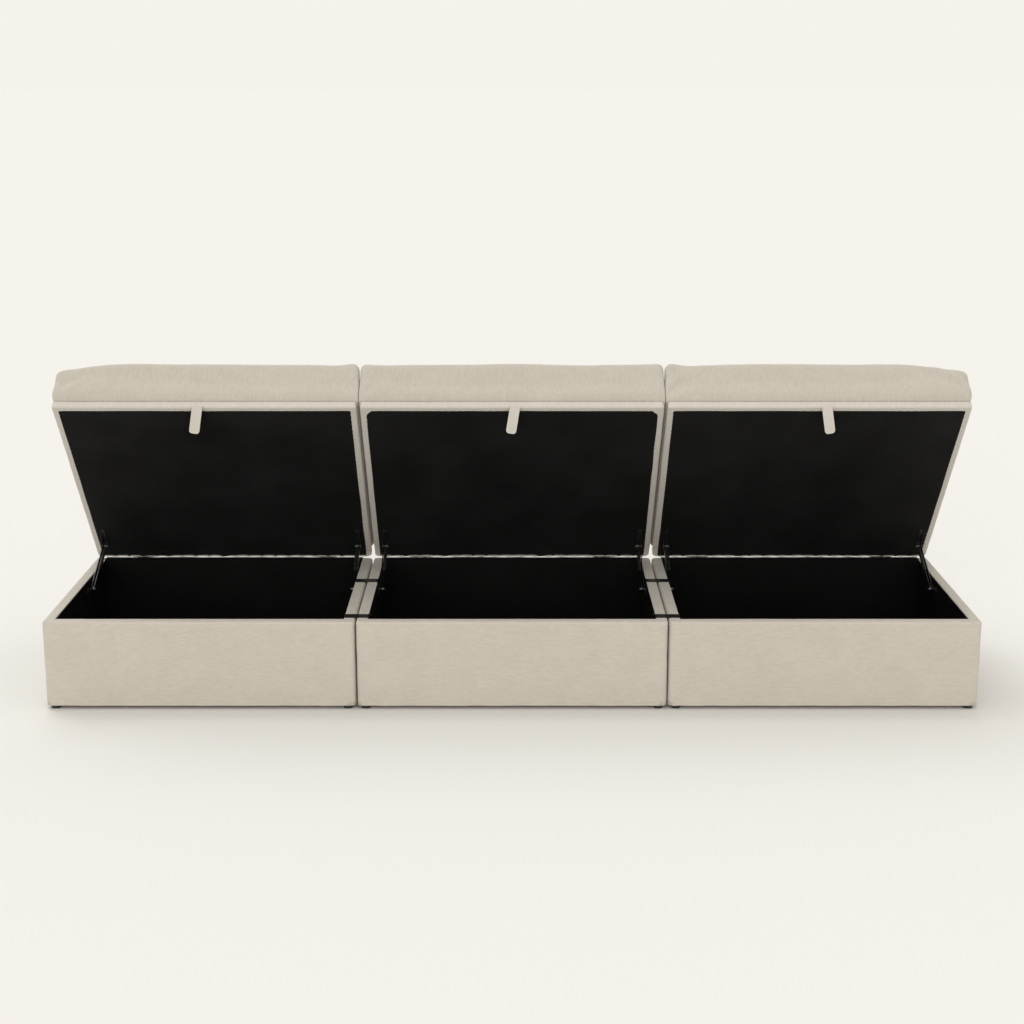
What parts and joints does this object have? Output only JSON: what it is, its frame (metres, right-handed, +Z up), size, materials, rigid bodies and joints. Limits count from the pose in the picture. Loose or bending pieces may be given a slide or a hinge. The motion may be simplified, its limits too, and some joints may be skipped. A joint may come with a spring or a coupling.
{
  "type": "storage sofa",
  "caption": "Run of joined upholstered box seats whose cushioned lids lift on rear hinges, held open by gas struts over lined storage.",
  "frame": {"origin": "on the floor, under the middle of the box around the whole run with its lids open", "axes": "+X along the run to the right as a person faces it, +Y to the back, +Z up"},
  "size_m": [2.9988, 0.9685, 1.0332],
  "materials": {
    "cover_fabric": "short-pile woven upholstery, cream",
    "lining_cloth": "matt non-woven cloth, black",
    "timber": "sawn softwood and board, bare",
    "glide_plastic": "moulded, black",
    "black_steel": "pressed steel, black",
    "zinc_steel": "zinc plated",
    "bar_steel": "zinc plated strip",
    "strut_rod_steel": "polished",
    "strut_tube_steel": "dark grey, satin"
  },
  "bodies": {
    "base": {"front_boards": "timber", "back_boards": "timber", "side_boards": "timber", "storage_floors": "timber", "floor_cleats": "timber", "corner_blocks": "timber", "feet": "glide_plastic", "strut_base_brackets": "black_steel", "connector_clips": "black_steel", "hinge_base_leaves": "zinc_steel", "hinge_pins": "zinc_steel", "base_fasteners": "zinc_steel", "base_cover_left": "cover_fabric", "storage_lining_left": "lining_cloth", "base_cover_middle": "cover_fabric", "storage_lining_middle": "lining_cloth", "base_cover_right": "cover_fabric", "storage_lining_right": "lining_cloth"},
    "lid_left": {"lid_deck_left": "timber", "lid_edge_cover_left": "cover_fabric", "lid_lining_left": "lining_cloth", "seat_cushion_left": "cover_fabric", "hinge_lid_leaves_left": "zinc_steel", "lid_strut_brackets_left": "black_steel", "lid_screws_left": "zinc_steel"},
    "tab_left": {"pull_tab_left": "cover_fabric"},
    "strut_rod_left_l": {"gas_rod_left_l": "strut_rod_steel"},
    "strut_tube_left_l": {"gas_cylinder_left_l": "strut_tube_steel", "stay_bar_left_l": "bar_steel"},
    "strut_rod_left_r": {"gas_rod_left_r": "strut_rod_steel"},
    "strut_tube_left_r": {"gas_cylinder_left_r": "strut_tube_steel", "stay_bar_left_r": "bar_steel"},
    "lid_middle": {"lid_deck_middle": "timber", "lid_edge_cover_middle": "cover_fabric", "lid_lining_middle": "lining_cloth", "seat_cushion_middle": "cover_fabric", "hinge_lid_leaves_middle": "zinc_steel", "lid_strut_brackets_middle": "black_steel", "lid_screws_middle": "zinc_steel"},
    "tab_middle": {"pull_tab_middle": "cover_fabric"},
    "strut_rod_middle_l": {"gas_rod_middle_l": "strut_rod_steel"},
    "strut_tube_middle_l": {"gas_cylinder_middle_l": "strut_tube_steel", "stay_bar_middle_l": "bar_steel"},
    "strut_rod_middle_r": {"gas_rod_middle_r": "strut_rod_steel"},
    "strut_tube_middle_r": {"gas_cylinder_middle_r": "strut_tube_steel", "stay_bar_middle_r": "bar_steel"},
    "lid_right": {"lid_deck_right": "timber", "lid_edge_cover_right": "cover_fabric", "lid_lining_right": "lining_cloth", "seat_cushion_right": "cover_fabric", "hinge_lid_leaves_right": "zinc_steel", "lid_strut_brackets_right": "black_steel", "lid_screws_right": "zinc_steel"},
    "tab_right": {"pull_tab_right": "cover_fabric"},
    "strut_rod_right_l": {"gas_rod_right_l": "strut_rod_steel"},
    "strut_tube_right_l": {"gas_cylinder_right_l": "strut_tube_steel", "stay_bar_right_l": "bar_steel"},
    "strut_rod_right_r": {"gas_rod_right_r": "strut_rod_steel"},
    "strut_tube_right_r": {"gas_cylinder_right_r": "strut_tube_steel", "stay_bar_right_r": "bar_steel"}
  },
  "joints": [
    {"name": "lid_hinge_left", "type": "hinge", "parent": "base", "child": "lid_left", "pos_m": [-1, 0.3692, 0.2885], "axis": [1, 0, 0], "range_deg": [0, 48.5], "stiffness_Nm_per_rad": 28.02, "springref_deg": -145.99},
    {"name": "tab_hang_left", "type": "hinge", "parent": "lid_left", "child": "tab_left", "pos_m": [-1.02, -0.19438, 0.93532], "axis": [1, 0, 0], "range_deg": [-48.5, 0]},
    {"name": "strut_turn_left_l", "type": "hinge", "parent": "base", "child": "strut_rod_left_l", "pos_m": [-1.449, 0.0657, 0.254], "axis": [1, 0, 0], "range_deg": [-17.06, 0]},
    {"name": "strut_slide_left_l", "type": "slide", "parent": "strut_rod_left_l", "child": "strut_tube_left_l", "axis": [0, 0.9221, 0.387], "range_m": [-0.04045, 0]},
    {"name": "strut_turn_left_r", "type": "hinge", "parent": "base", "child": "strut_rod_left_r", "pos_m": [-0.551, 0.0657, 0.254], "axis": [1, 0, 0], "range_deg": [-17.06, 0]},
    {"name": "strut_slide_left_r", "type": "slide", "parent": "strut_rod_left_r", "child": "strut_tube_left_r", "axis": [0, 0.9221, 0.387], "range_m": [-0.04045, 0]},
    {"name": "lid_hinge_middle", "type": "hinge", "parent": "base", "child": "lid_middle", "pos_m": [0, 0.3692, 0.2885], "axis": [1, 0, 0], "range_deg": [0, 48.5], "stiffness_Nm_per_rad": 28.02, "springref_deg": -145.99},
    {"name": "tab_hang_middle", "type": "hinge", "parent": "lid_middle", "child": "tab_middle", "pos_m": [0.01, -0.19438, 0.93532], "axis": [1, 0, 0], "range_deg": [-48.5, 0]},
    {"name": "strut_turn_middle_l", "type": "hinge", "parent": "base", "child": "strut_rod_middle_l", "pos_m": [-0.449, 0.0657, 0.254], "axis": [1, 0, 0], "range_deg": [-17.06, 0]},
    {"name": "strut_slide_middle_l", "type": "slide", "parent": "strut_rod_middle_l", "child": "strut_tube_middle_l", "axis": [0, 0.9221, 0.387], "range_m": [-0.04045, 0]},
    {"name": "strut_turn_middle_r", "type": "hinge", "parent": "base", "child": "strut_rod_middle_r", "pos_m": [0.449, 0.0657, 0.254], "axis": [1, 0, 0], "range_deg": [-17.06, 0]},
    {"name": "strut_slide_middle_r", "type": "slide", "parent": "strut_rod_middle_r", "child": "strut_tube_middle_r", "axis": [0, 0.9221, 0.387], "range_m": [-0.04045, 0]},
    {"name": "lid_hinge_right", "type": "hinge", "parent": "base", "child": "lid_right", "pos_m": [1, 0.3692, 0.2885], "axis": [1, 0, 0], "range_deg": [0, 48.5], "stiffness_Nm_per_rad": 28.02, "springref_deg": -145.99},
    {"name": "tab_hang_right", "type": "hinge", "parent": "lid_right", "child": "tab_right", "pos_m": [1.021, -0.19438, 0.93532], "axis": [1, 0, 0], "range_deg": [-48.5, 0]},
    {"name": "strut_turn_right_l", "type": "hinge", "parent": "base", "child": "strut_rod_right_l", "pos_m": [0.551, 0.0657, 0.254], "axis": [1, 0, 0], "range_deg": [-17.06, 0]},
    {"name": "strut_slide_right_l", "type": "slide", "parent": "strut_rod_right_l", "child": "strut_tube_right_l", "axis": [0, 0.9221, 0.387], "range_m": [-0.04045, 0]},
    {"name": "strut_turn_right_r", "type": "hinge", "parent": "base", "child": "strut_rod_right_r", "pos_m": [1.449, 0.0657, 0.254], "axis": [1, 0, 0], "range_deg": [-17.06, 0]},
    {"name": "strut_slide_right_r", "type": "slide", "parent": "strut_rod_right_r", "child": "strut_tube_right_r", "axis": [0, 0.9221, 0.387], "range_m": [-0.04045, 0]}
  ],
  "couplings": [
    {"joint": "tab_hang_left", "follows": "lid_hinge_left", "ratio": -1},
    {"joint": "strut_turn_left_l", "follows": "lid_hinge_left", "ratio": -0.35081},
    {"joint": "strut_slide_left_l", "follows": "lid_hinge_left", "m_per_rad": -0.047673},
    {"joint": "strut_turn_left_r", "follows": "lid_hinge_left", "ratio": -0.35081},
    {"joint": "strut_slide_left_r", "follows": "lid_hinge_left", "m_per_rad": -0.047673},
    {"joint": "tab_hang_middle", "follows": "lid_hinge_middle", "ratio": -1},
    {"joint": "strut_turn_middle_l", "follows": "lid_hinge_middle", "ratio": -0.35081},
    {"joint": "strut_slide_middle_l", "follows": "lid_hinge_middle", "m_per_rad": -0.047673},
    {"joint": "strut_turn_middle_r", "follows": "lid_hinge_middle", "ratio": -0.35081},
    {"joint": "strut_slide_middle_r", "follows": "lid_hinge_middle", "m_per_rad": -0.047673},
    {"joint": "tab_hang_right", "follows": "lid_hinge_right", "ratio": -1},
    {"joint": "strut_turn_right_l", "follows": "lid_hinge_right", "ratio": -0.35081},
    {"joint": "strut_slide_right_l", "follows": "lid_hinge_right", "m_per_rad": -0.047673},
    {"joint": "strut_turn_right_r", "follows": "lid_hinge_right", "ratio": -0.35081},
    {"joint": "strut_slide_right_r", "follows": "lid_hinge_right", "m_per_rad": -0.047673}
  ]
}
